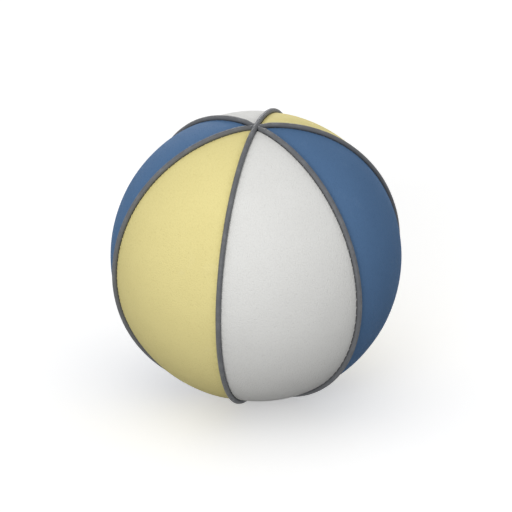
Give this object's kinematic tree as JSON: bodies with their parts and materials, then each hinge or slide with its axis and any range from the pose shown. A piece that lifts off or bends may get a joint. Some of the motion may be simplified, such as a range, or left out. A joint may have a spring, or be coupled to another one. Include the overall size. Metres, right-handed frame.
{
  "type": "volleyball",
  "caption": "Inflatable sports ball of foam-backed gores sewn pole to pole, with raised piping in the seams, over a rubber bladder with a pull-out needle valve core.",
  "frame": {"origin": "centre of the ball", "axes": "+Z through the pole where the seams meet, -Y through the middle of the front white gore, +Y through the valve in the back white gore, +X to the right"},
  "size_m": [0.2158, 0.2096, 0.2158],
  "materials": {
    "white_skin": "matte",
    "blue_skin": "matte",
    "yellow_skin": "matte",
    "piping": "satin",
    "foam": "matte",
    "lining": "matte",
    "butyl": "matte",
    "valve_rubber": "matte"
  },
  "bodies": {
    "ball": {"cover_white_front": "white_skin", "foam_white_front": "foam", "lining_white_front": "lining", "cover_blue_right": "blue_skin", "foam_blue_right": "foam", "lining_blue_right": "lining", "cover_yellow_back": "yellow_skin", "foam_yellow_back": "foam", "lining_yellow_back": "lining", "cover_white_back": "white_skin", "foam_white_back": "foam", "lining_white_back": "lining", "cover_blue_left": "blue_skin", "foam_blue_left": "foam", "lining_blue_left": "lining", "cover_yellow_front": "yellow_skin", "foam_yellow_front": "foam", "lining_yellow_front": "lining", "piping_closing_hoop": "piping", "piping_front_right": "piping", "piping_right": "piping", "piping_back_left": "piping", "piping_left": "piping", "bladder": "butyl", "valve_housing": "valve_rubber"},
    "valve_core": {"valve_core": "valve_rubber"}
  },
  "joints": [
    {"name": "valve_core_pull", "type": "slide", "parent": "ball", "child": "valve_core", "axis": [0, 1, 0], "range_m": [0, 0.03]}
  ]
}
